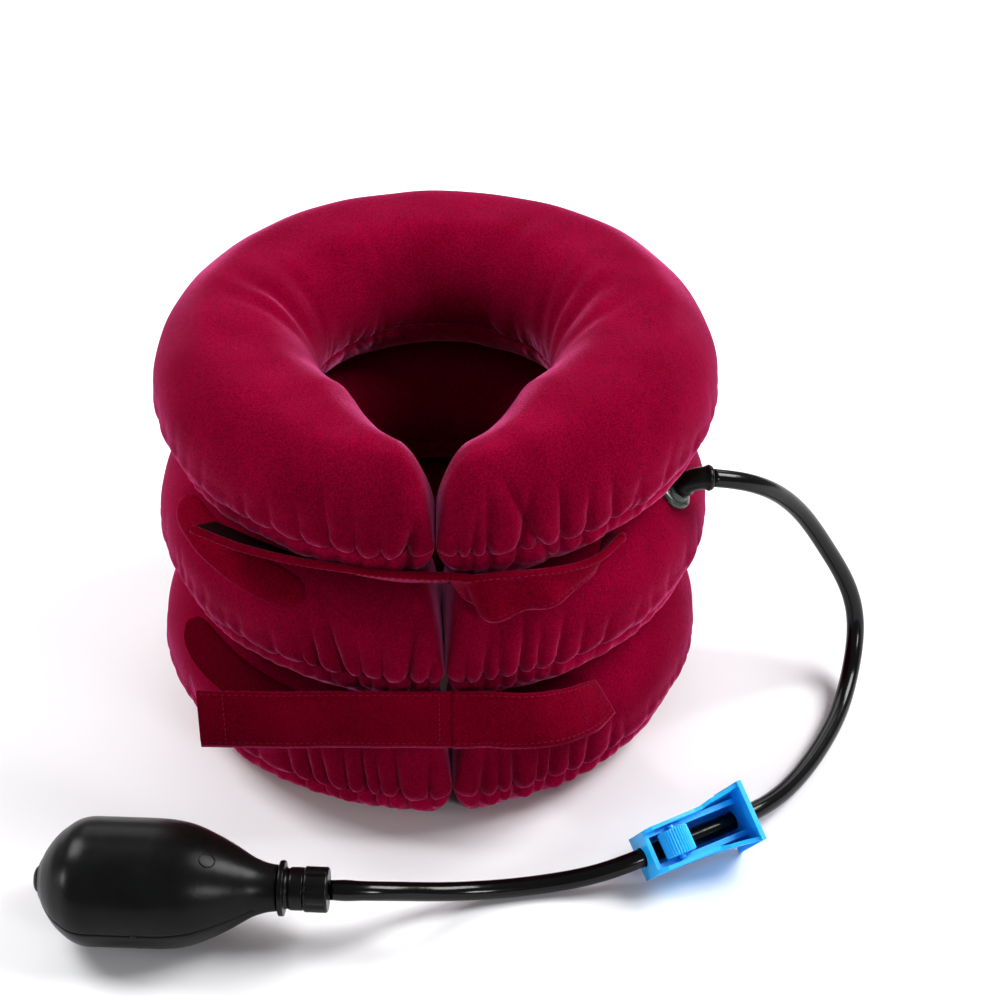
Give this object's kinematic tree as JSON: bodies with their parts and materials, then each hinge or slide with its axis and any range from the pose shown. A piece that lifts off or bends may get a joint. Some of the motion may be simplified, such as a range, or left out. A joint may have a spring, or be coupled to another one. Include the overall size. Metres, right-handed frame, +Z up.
{
  "type": "inflatable cervical traction collar",
  "caption": "Three-tier inflatable neck traction collar in velvet, with closing straps, black hose, roller clamp and hand pump.",
  "frame": {"origin": "floor level, at the middle of the footprint of the collar with its pump, without the hose and its clamp", "axes": "+Z up; the slit of the collar faces -Y, and the hose leaves it towards +X"},
  "size_m": [0.3415, 0.302, 0.1855],
  "materials": {
    "velvet": "short velvet nap",
    "bladder_rubber": "smooth",
    "join_tape": "woven",
    "port_rubber": "smooth",
    "loop_tape": "looped pile",
    "hook_tape": "velvet outside, woven hook inside",
    "clear_pvc": "translucent",
    "black_plastic": "satin moulded",
    "valve_rubber": "smooth",
    "bulb_rubber": "satin moulded rubber",
    "hose_pvc": "gloss",
    "blue_plastic": "satin moulded"
  },
  "bodies": {
    "collar_base": {"lower_top_panel": "velvet", "lower_bottom_panel": "velvet", "lower_bladder": "bladder_rubber", "lower_loop_patch": "loop_tape", "rubber_bulb": "bulb_rubber", "valve_body": "black_plastic", "hose_barb": "black_plastic", "air_hose": "hose_pvc", "clamp_housing": "blue_plastic"},
    "middle_tier": {"middle_top_panel": "velvet", "middle_bottom_panel": "velvet", "middle_bladder": "bladder_rubber", "upper_loop_patch": "loop_tape", "lower_join_band_right": "join_tape", "lower_join_band_left": "join_tape", "lower_air_port": "port_rubber"},
    "upper_tier": {"upper_top_panel": "velvet", "upper_bottom_panel": "velvet", "upper_bladder": "bladder_rubber", "upper_join_band_right": "join_tape", "upper_join_band_left": "join_tape", "upper_air_port": "port_rubber"},
    "inlet_fitting": {"inlet_flange": "clear_pvc", "inlet_elbow": "black_plastic"},
    "lower_strap": {"lower_strap_hook_tab": "hook_tape", "lower_strap_base": "velvet"},
    "upper_strap": {"upper_strap_hook_tab": "hook_tape", "upper_strap_base": "velvet"},
    "bulb_tail": {"inlet_valve_housing": "black_plastic"},
    "inlet_flap": {"inlet_valve_disc": "valve_rubber"},
    "outlet_flap": {"outlet_valve_disc": "valve_rubber"},
    "release_nut": {"release_nut": "black_plastic"},
    "roller_carriage": {"roller_axle": "blue_plastic"},
    "roller_wheel": {"clamp_roller": "blue_plastic"}
  },
  "joints": [
    {"name": "middle_tier_drop", "type": "slide", "parent": "collar_base", "child": "middle_tier", "axis": [0, 0, 1], "range_m": [-0.03, 0], "stiffness_N_per_m": 300, "springref_m": 0.02, "deforming": ["lower_top_panel", "lower_bottom_panel", "middle_top_panel", "middle_bottom_panel", "upper_top_panel", "upper_bottom_panel", "lower_bladder", "middle_bladder", "upper_bladder", "lower_loop_patch", "upper_loop_patch", "lower_join_band_right", "lower_join_band_left", "upper_join_band_right", "upper_join_band_left", "lower_air_port", "upper_air_port", "lower_strap_hook_tab", "lower_strap_base", "upper_strap_hook_tab", "upper_strap_base", "air_hose"]},
    {"name": "upper_tier_drop", "type": "slide", "parent": "collar_base", "child": "upper_tier", "axis": [0, 0, 1], "range_m": [-0.06, 0]},
    {"name": "inlet_fitting_drop", "type": "slide", "parent": "collar_base", "child": "inlet_fitting", "axis": [0, 0, 1], "range_m": [-0.0558, 0]},
    {"name": "lower_strap_peel", "type": "hinge", "parent": "middle_tier", "child": "lower_strap", "pos_m": [0.0913, -0.0454, 0.055], "axis": [0, 0, 1], "range_deg": [0, 75]},
    {"name": "upper_strap_peel", "type": "hinge", "parent": "upper_tier", "child": "upper_strap", "pos_m": [0.0933, -0.0354, 0.126], "axis": [0, 0, 1], "range_deg": [0, 75]},
    {"name": "bulb_squeeze", "type": "slide", "parent": "collar_base", "child": "bulb_tail", "axis": [0.9986, -0.0523, 0], "range_m": [0, 0.015], "stiffness_N_per_m": 400, "springref_m": -0.003, "deforming": ["rubber_bulb"]},
    {"name": "inlet_valve_lift", "type": "slide", "parent": "bulb_tail", "child": "inlet_flap", "axis": [0.9986, -0.0523, 0], "range_m": [0, 0.0018], "stiffness_N_per_m": 30, "springref_m": -0.001},
    {"name": "outlet_valve_lift", "type": "slide", "parent": "collar_base", "child": "outlet_flap", "axis": [0.9986, -0.0523, 0], "range_m": [0, 0.0018], "stiffness_N_per_m": 30, "springref_m": -0.001},
    {"name": "release_nut_turn", "type": "hinge", "parent": "collar_base", "child": "release_nut", "pos_m": [-0.02625, -0.12895, 0.0252], "axis": [0.9986, -0.0523, 0], "range_deg": [0, 360]},
    {"name": "roller_travel", "type": "slide", "parent": "collar_base", "child": "roller_carriage", "axis": [0.8746, 0.4848, 0], "range_m": [-0.003, 0.024]},
    {"name": "roller_spin", "type": "hinge", "parent": "roller_carriage", "child": "roller_wheel", "pos_m": [0.11539, -0.09958, 0.02169], "axis": [-0.3922, 0.7076, 0.5878], "range_deg": [-28, 216]}
  ],
  "couplings": [
    {"joint": "upper_tier_drop", "follows": "middle_tier_drop", "ratio": 2},
    {"joint": "inlet_fitting_drop", "follows": "middle_tier_drop", "ratio": 1.86},
    {"joint": "roller_spin", "follows": "roller_travel", "rad_per_m": 156.25}
  ]
}
